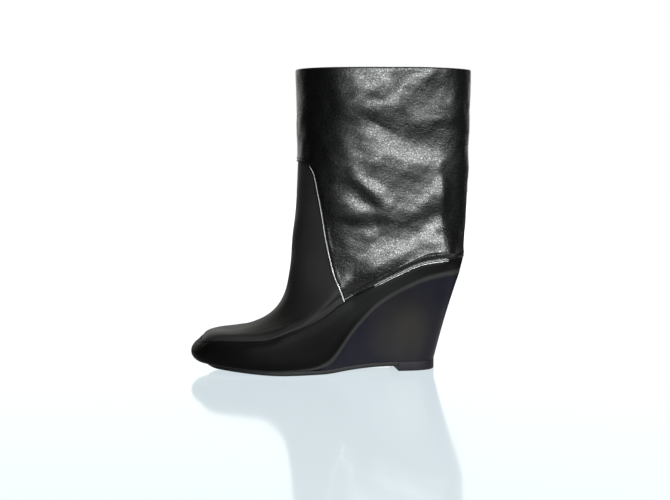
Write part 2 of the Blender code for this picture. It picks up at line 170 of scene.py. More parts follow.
# Plan of the sole, in the same way, from SOLE_BACK to SOLE_FRONT, where it is cut square
SOLE_PLAN = table(
    "along lateral medial",
    (0, 0, 0),
    (0.011, 0.265, 0.270),
    (0.031, 0.420, 0.425),
    (0.062, 0.530, 0.535),
    (0.103, 0.590, 0.585),
    (0.175, 0.607, 0.607),
    (0.252, 0.615, 0.587),
    (0.329, 0.650, 0.587),
    (0.405, 0.723, 0.658),
    (0.482, 0.830, 0.785),
    (0.559, 0.928, 0.900),
    (0.636, 0.988, 0.970),
    (0.723, 1.000, 1.000),
    (0.805, 0.952, 0.982),
    (0.882, 0.845, 0.905),
    (0.938, 0.720, 0.790),
    (0.974, 0.600, 0.660),
    (0.992, 0.500, 0.560),
    (1, 0.420, 0.470),
)

# Footbed: share of the heel's rise that is left along the last
FOOTBED = table(
    "along rise",
    (0, 1),
    (0.043, 0.998),
    (0.086, 0.989),
    (0.151, 0.951),
    (0.216, 0.878),
    (0.276, 0.793),
    (0.337, 0.677),
    (0.371, 0.579),
    (0.406, 0.470),
    (0.436, 0.360),
    (0.462, 0.250),
    (0.492, 0.134),
    (0.523, 0.055),
    (0.566, 0.009),
    (0.605, 0),
    (1, 0),
)

# Toe spring along the last, as a share of TOE_SPRING
SPRING = table(
    "along rise",
    (0, 0),
    (0.670, 0),
    (0.734, 0.12),
    (0.812, 0.38),
    (0.886, 0.68),
    (0.955, 1),
    (1, 1.2),
)

# Arch of the sole from the lift (0) to the tread (1), as a share of LIFT less SOLE
ARCH = table(
    "along rise",
    (0, 1),
    (0.03, 1),
    (0.26, 0.93),
    (0.50, 0.73),
    (0.74, 0.39),
    (0.90, 0.12),
    (1, 0),
)

# Long seam round the boot along the last: share of its rise from the toe to the back
SEAM = table(
    "along rise",
    (0, 1),
    (0.120, 0.972),
    (0.164, 0.950),
    (0.207, 0.905),
    (0.250, 0.838),
    (0.294, 0.770),
    (0.380, 0.625),
    (0.475, 0.455),
    (0.527, 0.330),
    (0.566, 0.262),
    (0.622, 0.190),
    (0.661, 0.148),
    (0.708, 0.093),
    (0.739, 0.068),
    (0.795, 0.056),
    (0.894, 0.048),
    (0.946, 0.034),
    (0.965, 0),
    (1, 0),
)

# Rings of the upper from the sole to the seam. front is a share of LAST_LENGTH and back of HEEL_INSET,
# height is the share of the way from the footbed to the seam, and lateral and medial are shares of
# the last's own halves.
LOWER_RINGS = table(
    "front back height lateral medial",
    (0.9503, 1.00, 0.00, 0.935, 0.930),
    (0.9790, 0.90, 0.05, 0.965, 0.963),
    (0.9905, 0.77, 0.24, 0.994, 0.994),
    (0.9920, 0.60, 0.45, 1.000, 1.000),
    (0.9840, 0.38, 0.73, 0.993, 0.993),
    (0.9620, 0.18, 1.00, 0.955, 0.953),
)

# Rings of the upper from the seam to the collar. rise is the front's height, where 0 to 1 climbs the
# vamp and 1 to 2 the leg, heel is the back's share of the way up to the collar, and half and back
# are the width's share of the last's at the front and at the back. oval turns the last's plan into
# an oval, and top is how much of the collar's own size the ring has.
UPPER_RINGS = table(
    "front rise heel half back oval top",
    (0.961, 0.393, 0.009, 0.952, 0.953, 0.00, 0.00),
    (0.956, 0.425, 0.016, 0.940, 0.952, 0.02, 0.00),
    (0.941, 0.480, 0.028, 0.903, 0.948, 0.06, 0.00),
    (0.916, 0.503, 0.040, 0.850, 0.944, 0.12, 0.00),
    (0.862, 0.516, 0.053, 0.795, 0.940, 0.25, 0.00),
    (0.795, 0.558, 0.068, 0.760, 0.935, 0.42, 0.01),
    (0.725, 0.655, 0.090, 0.745, 0.930, 0.60, 0.03),
    (0.680, 0.810, 0.117, 0.745, 0.920, 0.77, 0.07),
    (0.653, 1.000, 0.156, 0.750, 0.880, 0.90, 0.12),
    (0.646, 1.080, 0.207, 0.755, 0.820, 1.00, 0.20),
    (0.642, 1.175, 0.270, 0.765, 0.800, 1.00, 0.32),
    (0.635, 1.310, 0.372, 0.785, 0.800, 1.00, 0.50),
    (0.610, 1.500, 0.520, 0.820, 0.820, 1.00, 0.72),
    (0.577, 1.620, 0.630, 0.850, 0.850, 1.00, 0.82),
    (0.544, 1.780, 0.790, 0.900, 0.900, 1.00, 0.92),
    (0.544, 2.000, 1.000, 0.900, 0.900, 1.00, 1.00),
)

# Edge of the leg beside the front panel, from its foot on the seam (0) to the panel's top (1)
PANEL_EDGE = table(
    "rise along",
    (0, 0.459),
    (0.096, 0.477),
    (0.200, 0.496),
    (0.322, 0.5105),
    (0.449, 0.5235),
    (0.577, 0.533),
    (0.699, 0.5425),
    (0.806, 0.552),
    (0.880, 0.558),
    (0.922, 0.5635),
    (0.965, 0.574),
    (0.990, 0.5915),
    (1, 0.612),
)

# Folds of the leg on its outer side. Each runs through points given in millimetres along and up the
# boot. A positive depth is a ridge and a negative one a trough.
FOLDS = (
    {"path": ((104, 168), (92, 158), (78, 146), (66, 136)), "width": 6.5, "depth": 1.2},
    {"path": ((80, 128), (62, 131), (46, 134), (32, 142), (20, 162)), "width": 11.0, "depth": 2.1},
    {"path": ((114, 156), (100, 150), (84, 139), (74, 131)), "width": 7.0, "depth": -0.9},
    {"path": ((120, 131), (100, 132), (80, 133), (66, 133)), "width": 8.0, "depth": 1.1},
    {"path": ((114, 124), (98, 123), (82, 123), (62, 126)), "width": 6.0, "depth": -0.5},
    {"path": ((27, 178), (25, 152), (25, 122), (26, 98), (28, 80)), "width": 6.5, "depth": 1.6},
    {"path": ((58, 209), (40, 210), (22, 212), (2, 214)), "width": 7.5, "depth": 1.7},
    {"path": ((80, 197), (62, 193), (46, 190), (26, 187), (4, 183)), "width": 9.0, "depth": -1.2},
    {"path": ((14, 262), (38, 249), (56, 235), (68, 220), (76, 204)), "width": 15.0, "depth": 3.8},
    {"path": ((118, 220), (98, 222), (82, 223), (66, 226)), "width": 12.0, "depth": 1.2},
)

# The leg's fullness above the seam over the wedge, on both sides: millimetres above the seam, and how
# far it stands out there
FULLNESS = table(
    "above lift",
    (0, 0),
    (0.8, 3.2),
    (1.6, 4.5),
    (2.6, 4.6),
    (4, 4.25),
    (8, 3.4),
    (14, 2.3),
    (20, 1.5),
    (27, 0.7),
    (38, 0),
)

# Where the fullness lies along the last, how far the seam itself is wider there than the last, and
# over what height that fades above and below it
FULL_PART = table(
    "along share",
    (0.02, 0),
    (0.09, 1),
    (0.33, 1),
    (0.425, 0),
)
SEAM_WIDENING = 0.0048
WIDENED_ABOVE = 0.020
WIDENED_BELOW = 0.008

# Where the seam over the wedge carries a painted highlight on its bead: its middle along the boot, and how
# far from there
PAINTED_HIGHLIGHT_MIDDLE = 0.050
PAINTED_HIGHLIGHT_REACH = 0.031

# Faces with a painted highlight on the bead, and faces painted dark as shade in the groove behind it,
# counted in from the leg's edge: beside the panel, then at the seam
FRONT_BEAD = (1, 4)
FRONT_GROOVE = (4, 7)
SEAM_BEAD = 2
SEAM_GROOVE = 5

# How far the leg sinks at most, so that it stays on the upper
DEEPEST = 0.0010

# Distance from the boot's middle, and from the folded edge, at which the leg's relief is full
SIDE_EASE = 0.020
EDGE_EASE = 0.012
SETTLE_START = 0.0016
SETTLE_RUN = 0.008

# Slight waviness of the leg and of the front panel
LEG_WAVES = (
    {"length": 0.011, "height": 0.00012, "seed": 3},
    {"length": 0.034, "height": 0.00040, "seed": 5},
)
PANEL_WAVES = {"length": 0.030, "height": 0.00035, "seed": 11}

# The collar's rolled edge: how far below the top, and how far from the upper's outer skin
COLLAR_ROLL = table(
    "drop lift",
    (1.30, 1.40),
    (0.60, 1.32),
    (0.20, 1.10),
    (0.02, 0.75),
    (0.02, 0.25),
    (0.30, -0.15),
    (0.90, -0.30),
)

# Share of the panel's rise at which the leg's rows take over from its columns along the edge
SHOULDER_RISE = 0.965

# Where the cover's upper edge lies nearly flush with the vamp, between the leg's foot and the apron
FLUSH = table(
    "along share",
    (0.44, 0),
    (0.50, 1),
    (0.70, 1),
    (0.76, 0),
)
FLUSH_LIFT = 0.00045
FLUSH_RUN = 0.009

# Edge of a folded piece of leather: distance in from its edge, and how far it stands out, in
# millimetres from its flat
FOLDED_EDGE = table(
    "distance rise",
    (0, -1.90),
    (0.30, -0.55),
    (0.60, 0.06),
    (0.90, 0.22),
    (1.25, 0.15),
    (1.60, -0.04),
    (2.00, -0.16),
    (2.50, -0.06),
    (3.20, 0),
    (4.00, 0),
)
EDGE_ROWS = FOLDED_EDGE["distance"] / 1000

# Cover of the wedge: its foot's inset on the sole, the edge tucked under the upper ahead of the
# wedge, and the soft ridge where the cover turns from the foxing to the wedge
FOOT_INSET = 0.0004
TUCK = 0.0035
TUCK_RUN = 0.026
RIDGE_LEVEL = 1.2
RIDGE_RUN = 0.0060
RIDGE_SHARE = 0.55
RIDGE_PULL = 1.1

# The outsole's round nose, and the rounding of the edges of the sole, the lift and the insole
NOSE = 0.0087
SOLE_EDGE = 0.0008
LIFT_EDGE = 0.0006
INSOLE_EDGE = 0.0010

# Where the wedge's leather shines most and its colour is painted lighter and warmer as a sheen, and how
# far round it
WEDGE_MIDDLE = (-0.012, -0.035, 0.036)
WEDGE_REACH = (0.042, 1.0, 0.046)

# Where the foxing is painted lighter as a highlight, under the leg's foot and over the wedge, and how far
# round it
BAND_MIDDLE = (-0.022, -0.035, 0.068)
BAND_REACH = (0.080, 1.0, 0.050)

# Where the leg's leather shines least, and how far round it
DULL_MIDDLE = (0.003, -0.040, 0.216)
DULL_REACH = (0.050, 1.0, 0.050)

# Where the toe apron shines, and how far round it
APRON_MIDDLE = (-0.155, 0.000, 0.060)
APRON_REACH = (0.080, 1.0, 0.034)

# Where the vamp's leather is rougher and its colour painted darker as shade, and how far round it
VAMP_MIDDLE = (-0.110, -0.030, 0.048)
VAMP_REACH = (0.070, 1.0, 0.050)


def mix(a, b, share):
    return a + (b - a) * share


def curve(t, start, start_pull, end, end_pull):
    """A smooth curve from start to end, which leaves and arrives along the pulls."""
    return (
        (1 + 2 * t) * (1 - t) ** 2 * start
        + t * (1 - t) ** 2 * start_pull
        + t * t * (3 - 2 * t) * end
        + t * t * (t - 1) * end_pull
    )


def smooth(rows, column, share, key="along"):
    """Reads a column of a table at shares, along a curve that passes its rows and never overshoots."""
    x, y = rows[key], rows[column]
    step = np.diff(x)
    slope = np.diff(y) / step
    turns = slope[:-1] * slope[1:] <= 0
    below = np.where(turns, 1, slope[:-1])
    above = np.where(turns, 1, slope[1:])
    inner = np.where(turns, 0, 2 / (1 / below + 1 / above))
    tangent = np.concatenate((slope[:1], inner, slope[-1:]))
    i = np.clip(np.searchsorted(x, share) - 1, 0, len(step) - 1)
    t = np.clip((share - x[i]) / step[i], 0, 1)
    return curve(t, y[i], step[i] * tangent[i], y[i + 1], step[i] * tangent[i + 1])


def rows_of(columns):
    return [dict(zip(columns, values)) for values in zip(*columns.values())]


def turned(rows):
    """The plan with its stations as angles, so that round ends stay round between the rows."""
    return {**rows, "along": np.arccos(1 - 2 * rows["along"])}


LAST_ANGLES = turned(LAST_PLAN)
SOLE_ANGLES = turned(SOLE_PLAN)


def by_side(angle, outer, inner):
    return np.where(np.sin(angle) >= 0, outer, inner)


def plan_half(plan, angle, share):
    """Half width of a plan, as a share of its ball half, at a share of its length."""
    turn = np.arccos(1 - 2 * np.clip(share, 0, 1))
    return by_side(angle, smooth(plan, "lateral", turn), smooth(plan, "medial", turn))


def place(along, half, height, angle):
    """Points of the boot in the world, on the side that the angle gives."""
    return np.stack(np.broadcast_arrays(LIFT_CENTRE - along, by_side(angle, -half, half), height), -1)


def spring_height(along):
    return TOE_SPRING * smooth(SPRING, "rise", along / LAST_LENGTH)


def sole_bottom(along):
    share = (along - LIFT_FRONT) / (TREAD_START * LAST_LENGTH - LIFT_FRONT)
    return (LIFT - SOLE) * smooth(ARCH, "rise", share) + spring_height(along)


def feather_height(along):
    """Height of the footbed's edge, where the upper's wall ends."""
    rise = smooth(FOOTBED, "rise", along / LAST_LENGTH)
    return SOLE_TOP + spring_height(along) + rise * (SEAT_HEIGHT - SOLE_TOP)


def seam_height(along):
    return mix(SEAM_TOE_HEIGHT, SEAM_BACK_HEIGHT, smooth(SEAM, "rise", along / LAST_LENGTH))


def front_height(rise):
    return VAMP_HEIGHT * min(rise, 1) + (COLLAR_HEIGHT - VAMP_HEIGHT) * max(rise - 1, 0)


def lower_ring(row, angle):
    """A ring between the sole and the seam."""
    share = (1 + np.cos(angle)) / 2
    along = mix(row["back"] * HEEL_INSET, row["front"] * LAST_LENGTH, share)
    half = by_side(angle, row["lateral"] * BALL_LATERAL, row["medial"] * BALL_MEDIAL)
    half = half * plan_half(LAST_ANGLES, angle, share)
    height = mix(feather_height(along), seam_height(along), row["height"])
    return place(along, half, height, angle)


def upper_ring(row, angle):
    """A ring between the seam and the collar."""
    turn = np.cos(angle)
    oval = np.copysign(np.abs(turn) ** OVAL_POWER, turn)
    share = mix((1 + turn) / 2, (1 + oval) / 2, row["oval"])
    front = mix(row["front"] * LAST_LENGTH, COLLAR_LENGTH - COLLAR_LEAN, row["top"])
    along = mix(-COLLAR_LEAN * row["top"], front, share)
    last_half = mix(row["back"], row["half"], share) * by_side(angle, BALL_LATERAL, BALL_MEDIAL)
    plan = last_half * plan_half(LAST_ANGLES, angle, share)
    round_half = mix(last_half, COLLAR_WIDTH / 2, row["top"])
    half = mix(plan, round_half * np.abs(np.sin(angle)) ** OVAL_POWER, row["oval"])
    front_rise = front_height(row["rise"]) - seam_height(front)
    heel_rise = row["heel"] * (COLLAR_HEIGHT - SEAM_BACK_HEIGHT)
    curved = seam_height(along) + mix(heel_rise, front_rise, share)
    straight = mix(SEAM_BACK_HEIGHT + heel_rise, front_height(row["rise"]), share)
    height = mix(curved, straight, min(1.0, row["top"] * 1.4))
    return place(along, half, height, angle)


def spline(rings, steps):
    """Layers along smooth curves through rings of equally many points, steps to each gap."""
    gap = np.linalg.norm(np.diff(rings, axis=0), axis=2)[..., None]
    slope = np.diff(rings, axis=0) / gap
    middle = (slope[:-1] * gap[1:] + slope[1:] * gap[:-1]) / (gap[:-1] + gap[1:])
    tangent = np.concatenate((slope[:1], middle, slope[-1:]))
    t = (np.arange(steps) / steps)[None, :, None, None]
    low_pull, high_pull = tangent[:-1, None] * gap[:, None], tangent[1:, None] * gap[:, None]
    layers = curve(t, rings[:-1, None], low_pull, rings[1:, None], high_pull)
    return np.concatenate((layers.reshape(-1, *rings.shape[1:]), rings[-1:]))


class Skin:
    """The upper's outer surface, read at an angle round the boot and at a level, its ring's number."""

    def __init__(self):
        angle = np.linspace(0, 2 * math.pi, ANGLE_STEPS + 1)
        rings = [lower_ring(row, angle) for row in rows_of(LOWER_RINGS)]
        rings += [upper_ring(row, angle) for row in rows_of(UPPER_RINGS)]
        self.seam = len(LOWER_RINGS["front"]) - 1
        self.collar = len(rings) - 1
        self.points = self.softened(spline(np.array(rings), LEVEL_STEPS))
        self.points[..., 1] += self.widening(self.points)
        out = np.cross(np.gradient(self.points, axis=1), np.gradient(self.points, axis=0))
        out[:, 0] = out[:, -1] = out[:, 0] + out[:, -1]
        self.normals = out / np.linalg.norm(out, axis=2)[..., None]

    def widening(self, points):
        """How far the seam over the wedge moves out, with the leather just above and below it."""
        along = LIFT_CENTRE - points[..., 0]
        above = points[..., 2] - seam_height(along)
        part = smooth(FULL_PART, "share", along / LAST_LENGTH)
        reach = np.where(above > 0, WIDENED_ABOVE, WIDENED_BELOW)
        return np.sign(points[..., 1]) * SEAM_WIDENING * part * np.exp(-((above / reach) ** 2))

    def softened(self, points):
        """The layers above the seam, blended with their neighbours so that no ring shows."""
        reach = 2 * SOFTENING
        offsets = np.arange(-reach, reach + 1)
        weights = np.exp(-((offsets / SOFTENING) ** 2) / 2)
        last = len(points) - 1
        layers = np.arange(last + 1)
        total = sum(w * points[np.clip(layers + i, 0, last)] for i, w in zip(offsets, weights))
        above = (layers / LEVEL_STEPS - self.seam) / 2
        below = (last - layers) / reach
        share = np.clip(np.minimum(above, below), 0, 1)[:, None, None]
        return mix(points, total / weights.sum(), share)

    def read(self, values, angle, level):
        column = np.mod(angle, 2 * math.pi) / (2 * math.pi) * ANGLE_STEPS
        row = np.clip(level, 0, self.collar) * LEVEL_STEPS
        i = np.minimum(column.astype(int), ANGLE_STEPS - 1)
        j = np.minimum(row.astype(int), self.collar * LEVEL_STEPS - 1)
        u, v = (column - i)[..., None], (row - j)[..., None]
        return mix(
            mix(values[j, i], values[j, i + 1], u),
            mix(values[j + 1, i], values[j + 1, i + 1], u),
            v,
        )

    def point(self, angle, level, lift=0.0):
        """The point, moved out from the surface by lift."""
        angle, level, lift = np.broadcast_arrays(angle, level, lift)
        surface = self.read(self.points, angle, level)
        return surface + self.read(self.normals, angle, level) * lift[..., None]

    def out(self, angle, level):
        return self.read(self.normals, *np.broadcast_arrays(angle, level))

    def level_at(self, angle_of, height, low):
        """Level of the points at a height. Where the columns lean, their angle follows the level."""
        low = np.broadcast_to(np.asarray(low, float), height.shape).copy()
        high = np.full(height.shape, float(self.collar))
        for _ in range(HALVINGS):
            middle = (low + high) / 2
            above = self.read(self.points[..., 2:], angle_of(middle), middle)[..., 0] > height
            high = np.where(above, middle, high)
            low = np.where(above, low, middle)
        return (low + high) / 2


SKIN = Skin()


def sheet(points, opening=None, kind=None, shares=None):
    """A bmesh grid moved to rows of points. opening(column, row) tells the faces that are left out,
    and kind(column, row) a face's material number. shares is kept at the points for a material."""
    rows, columns = points.shape[0] - 1, points.shape[1] - 1
    bm = bmesh.new()
    bmesh.ops.create_grid(bm, x_segments=columns, y_segments=rows, size=1)

    def cell(co):
        return (co.x + 1) / 2 * columns, (co.y + 1) / 2 * rows

    if opening:
        gone = [face for face in bm.faces if opening(*cell(face.calc_center_median()))]
        bmesh.ops.delete(bm, geom=gone, context="FACES")
    if kind:
        for face in bm.faces:
            face.material_index = int(kind(*cell(face.calc_center_median())))
    layer = bm.verts.layers.float.new("share")
    for vert in bm.verts:
        column, row = cell(vert.co)
        vert.co = points[round(row), round(column)]
        if shares is not None:
            vert[layer] = shares[round(row), round(column)]
    bmesh.ops.remove_doubles(bm, verts=bm.verts, dist=2e-6)
    return bm


def linked(name, data):
    obj = bpy.data.objects.new(name, data)
    bpy.context.scene.collection.objects.link(obj)
    return obj


def linked_mesh(name, bm, *materials):
    mesh = bpy.data.meshes.new(name)
    bm.to_mesh(mesh)
    bm.free()
    for material in materials:
        mesh.materials.append(material)
    return linked(name, mesh)


def finish_mesh(name, bm, *materials):
    """The bmesh as a smooth shaded object of the boot that rides on its body."""
    obj = linked_mesh(name, bm, *materials)
    obj.data.shade_smooth()
    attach(obj, "root")
    return obj


# Leg

def edge_angles(levels, inner):
    """Angle of the leg's front edge at each level, up to where it meets the front's middle."""
    scan = np.linspace(0.002, math.pi - 0.002, SCAN_ANGLES)
    points = SKIN.point((2 * math.pi - scan if inner else scan)[None, :], levels[:, None])
    ahead = ahead_of_edge(points)
    behind = np.argmax(ahead < 0, axis=1)
    first = np.maximum(behind - 1, 0)
    rows = np.arange(len(levels))
    a, b = ahead[rows, first], ahead[rows, behind]
    share = np.where(behind > 0, a / np.where(a == b, 1, a - b), 0)
    return mix(scan[first], scan[behind], share)


def ahead_of_edge(points):
    """How far points lie ahead of the edge of the leg, in the front panel."""
    rise = (points[..., 2] - PANEL_FOOT_HEIGHT) / (PANEL_TOP_HEIGHT - PANEL_FOOT_HEIGHT)
    return LIFT_CENTRE - points[..., 0] - LAST_LENGTH * smooth(PANEL_EDGE, "along", rise, "rise")


class LegHalf:
    """Angles of the leg's columns on one side: across the front panel, by the edge, and to the heel."""

    def __init__(self, inner):
        self.inner = inner
        self.levels = np.linspace(SKIN.seam, SKIN.collar, SCAN_LEVELS)
        self.edges = edge_angles(self.levels, inner)
        shoulder = PANEL_FOOT_HEIGHT + SHOULDER_RISE * (PANEL_TOP_HEIGHT - PANEL_FOOT_HEIGHT)
        heights = SKIN.point(self.turn(self.edges), self.levels)[:, 2]
        over = np.argmax(heights > shoulder)
        self.shoulder_angle = self.edges[over]
        self.edges[over:] = self.shoulder_angle
        nearby = SKIN.point(self.turn(self.edges), self.levels)
        step = SKIN.point(self.turn(self.edges + 0.01), self.levels)
        self.reach = np.linalg.norm(step - nearby, axis=1) / 0.01
        near_count = len(EDGE_ROWS) - 1
        count = FRONT_COLUMNS + near_count + REST_COLUMNS
        column = np.arange(count + 1)
        self.front = np.clip(column / FRONT_COLUMNS, 0, 1)
        self.near = np.interp(column - FRONT_COLUMNS, np.arange(near_count + 1), EDGE_ROWS)
        self.rest = np.clip((column - FRONT_COLUMNS - near_count) / REST_COLUMNS, 0, 1)
        self.edge_distance = np.where(self.rest > 0, 1.0, self.near)

    def turn(self, angle):
        return 2 * math.pi - angle if self.inner else angle

    def angle(self, level):
        edge = np.interp(level, self.levels, self.edges)
        reach = np.interp(level, self.levels, self.reach)
        angle = edge * self.front + self.near / reach
        return self.turn(mix(angle, math.pi, self.rest))


def arch_heights(half):
    """Height of the leg's edge over the front panel at each column of a half."""
    angles = half.turn(half.shoulder_angle * half.front)
    levels = np.linspace(SKIN.seam, SKIN.collar, SCAN_LEVELS)
    points = SKIN.point(angles[None, :], levels[:, None])
    crossing = np.argmax((ahead_of_edge(points) < 0) & (points[..., 2] > PANEL_FOOT_HEIGHT), axis=0)
    return points[crossing, np.arange(len(angles)), 2]


def leg_half(half):
    """Levels, angles and distances from the nearest edge, as rows of the leg's columns."""
    arch = arch_heights(half)
    shoulder = arch[FRONT_COLUMNS]
    arch[FRONT_COLUMNS:] = shoulder
    start = np.full(arch.shape, float(SKIN.seam))
    bottom = SKIN.point(half.angle(start), start)[:, 2]
    levels, distances = [], []

    def add(height, distance):
        levels.append(SKIN.level_at(half.angle, height, start))
        distances.append(distance)

    for edge in EDGE_ROWS:
        add(bottom + edge, np.minimum(edge, half.edge_distance))
    for share in np.arange(1, LOWER_ROWS + 1) / (LOWER_ROWS + 1):
        add(mix(bottom + EDGE_ROWS[-1], arch, share), half.edge_distance)
    for edge in EDGE_ROWS:
        behind = np.where(half.front < 1, 0, half.edge_distance)
        add(arch + edge, np.hypot(behind, edge))
    top = COLLAR_HEIGHT - COLLAR_ROLL["drop"][0] / 1000
    for share in np.arange(1, UPPER_ROWS + 1) / (UPPER_ROWS + 1):
        add(mix(arch + EDGE_ROWS[-1], top, share), np.full(arch.shape, 1.0))
    levels = np.array(levels)
    angles = np.array([half.angle(row) for row in levels])
    return angles, levels, np.array(distances)


def fold_lift(points):
    """How far the folds, which fade out at both ends, move the leg's outer side."""
    at = np.stack((LIFT_CENTRE - points[..., 0], points[..., 2]), -1) * 1000
    lift = np.zeros(at.shape[:-1])
    for fold in FOLDS:
        path = np.array(fold["path"], float)
        lengths = np.linalg.norm(np.diff(path, axis=0), axis=1)
        nearest = np.full(lift.shape, np.inf)
        along = np.zeros(lift.shape)
        for i, length in enumerate(lengths):
            run = path[i + 1] - path[i]
            share = np.clip((at - path[i]) @ run / length ** 2, 0, 1)
            distance = np.linalg.norm(at - path[i] - share[..., None] * run, axis=-1)
            along = np.where(distance < nearest, lengths[:i].sum() + share * length, along)
            nearest = np.minimum(nearest, distance)
        fade = np.sin(math.pi * np.clip(along / lengths.sum(), 0, 1)).clip(0, 1) ** 0.7
        lift += fold["depth"] * fade * np.exp(-((nearest / fold["width"]) ** 2))
    return lift / 1000


def waves(points, length, seed):
    """Soft uneven waves between about -1 and 1, without a direction."""
    draw = np.random.default_rng(seed)
    total = np.zeros(points.shape[:-1])
    for _ in range(12):
        way = draw.normal(size=3)
        way /= np.linalg.norm(way)
        turns = 2 * math.pi / (length * draw.uniform(0.75, 1.5))
        total += np.sin(points @ way * turns + draw.uniform(0, 2 * math.pi))
    return total / 4


def highlight_rows(point):
    """How many rows of faces carry the painted highlight at a point of the long seam: two, then one, then
    none.
    """
    beyond = abs(LIFT_CENTRE - point[0] - PAINTED_HIGHLIGHT_MIDDLE) / PAINTED_HIGHLIGHT_REACH
    return int(np.interp(beyond, (0.75, 1), (2.99, 0.99)))


def make_leg(material, edge_highlight, dull):
    """The wide leg, open over the front panel, with folded edges and its folds."""
    parts = [leg_half(LegHalf(inner)) for inner in (False, True)]
    angles, levels, distances = (
        np.concatenate((outer, inner[:, -2::-1]), axis=1) for outer, inner in zip(*parts)
    )
    flat = SKIN.point(angles, levels, OUTER)
    side = -flat[..., 1] / SIDE_EASE
    away = np.clip((distances - EDGE_ROWS[-1] / 2) / EDGE_EASE, 0, 1)
    settled = np.clip((distances - SETTLE_START) / SETTLE_RUN, 0, 1)
    along = LIFT_CENTRE - flat[..., 0]
    above = (flat[..., 2] - seam_height(along)) * 1000
    full = smooth(FULLNESS, "lift", above, "above") / 1000
    full = full * smooth(FULL_PART, "share", along / LAST_LENGTH)
    lift = fold_lift(flat) * np.clip(side, 0, 1) + full * np.clip(np.abs(side), 0, 1)
    for wave in LEG_WAVES:
        lift += wave["height"] * waves(flat, wave["length"], wave["seed"])
    lift = np.where(lift < 0, -DEEPEST * np.tanh(-lift / DEEPEST), lift)
    edge = smooth(FOLDED_EDGE, "rise", distances * 1000, "distance") / 1000
    points = flat + SKIN.out(angles, levels) * (lift * mix(settled, away, 0.5) + edge)[..., None]
    roll = []
    last = SKIN.point(angles[-1], levels[-1])
    outward = SKIN.out(angles[-1], levels[-1])
    shift = points[-1] - flat[-1]
    for row in rows_of(COLLAR_ROLL):
        ring = last + outward * (row["lift"] / 1000) + shift
        ring[:, 2] = COLLAR_HEIGHT - row["drop"] / 1000
        roll.append(ring)
    points = np.concatenate((points, roll))
    columns = points.shape[1] - 1
    border = len(EDGE_ROWS) + LOWER_ROWS

    def over_panel(column, row):
        return row < border and min(column, columns - column) < FRONT_COLUMNS

    def kind(column, row):
        """0 for the leather, 1 for the painted highlight on the bead and 2 for the groove behind it,
        painted dark as shade.
        """
        across = min(column, columns - column) - FRONT_COLUMNS if row < border else math.inf
        foot = points[0, int(column)]
        over_wedge = LIFT_CENTRE - foot[0] < PAINTED_HIGHLIGHT_MIDDLE + PAINTED_HIGHLIGHT_REACH
        if FRONT_BEAD[0] < across < FRONT_BEAD[1]:
            return 1
        if SEAM_BEAD < row < SEAM_BEAD + 1 and highlight_rows(foot):
            return 1
        if FRONT_GROOVE[0] < across < FRONT_GROOVE[1]:
            return 2
        # Away from the wedge, the leg's folded edge below the seam's bead is painted dark as shade
        return 0 if over_wedge or row > SEAM_GROOVE else 2

    # The leg's second material paints a highlight on its folded beads, and its third paints shade in the
    # grooves behind them
    obj = finish_mesh("leg_leather", sheet(points, over_panel, kind), material, edge_highlight, dull)
    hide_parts("leg")
    return points


def leg_stitches(points):
    """Path of the thread on the leg, above the long seam."""
    row = int(np.argmin(np.abs(EDGE_ROWS - LEG_STITCH)))
    column = FRONT_COLUMNS + row + 1
    return points[row, column : points.shape[1] - column]


# Upper

def make_upper(leather, lining):
    """The inner body of the boot: its apron and front panel outside, and its lining inside."""
    stops = (0, SKIN.seam - 0.5, SKIN.seam + 6, SKIN.seam + 10, SKIN.collar - 0.03)
    bands = zip(stops, stops[1:], VAMP_ROWS)
    levels = [np.linspace(low, high, rows, endpoint=high == stops[-1]) for low, high, rows in bands]
    levels = np.concatenate(levels)
    angles = np.linspace(0, 2 * math.pi, VAMP_COLUMNS + 1)
    points = SKIN.point(angles[None, :], levels[:, None])
    front = np.clip((np.cos(angles)[None, :] + 0.1) * 2, 0, 1) * np.clip(levels[:, None] - 8, 0, 1)
    lift = PANEL_WAVES["height"] * waves(points, PANEL_WAVES["length"], PANEL_WAVES["seed"]) * front
    points = points + SKIN.out(angles[None, :], levels[:, None]) * lift[..., None]
    obj = finish_mesh("upper_leather", sheet(points), leather, lining)
    wall = obj.modifiers.new("Wall", "SOLIDIFY")
    wall.thickness = WALL
    wall.offset = -1
    wall.use_quality_normals = True
    wall.material_offset = 1
    wall.material_offset_rim = 1
    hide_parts("upper")


# Cover of the foxing and the wedge

def sole_half(along, angle):
    share = (along - SOLE_BACK) / (SOLE_FRONT - SOLE_BACK)
    return by_side(angle, SOLE_LATERAL, SOLE_MEDIAL) * plan_half(SOLE_ANGLES, angle, share)


def feather_outline(angle, inset):
    """Outline of the upper's lower edge, drawn in by inset all round: along, and half width."""
    back = HEEL_INSET + inset
    front = LOWER_RINGS["front"][0] * LAST_LENGTH - inset
    share = (1 + np.cos(angle)) / 2
    plan = plan_half(LAST_ANGLES, angle, share)
    ball = by_side(
        angle, LOWER_RINGS["lateral"][0] * BALL_LATERAL, LOWER_RINGS["medial"][0] * BALL_MEDIAL
    )
    return mix(back, front, share), ball * plan - inset * np.minimum(1, plan * 2)


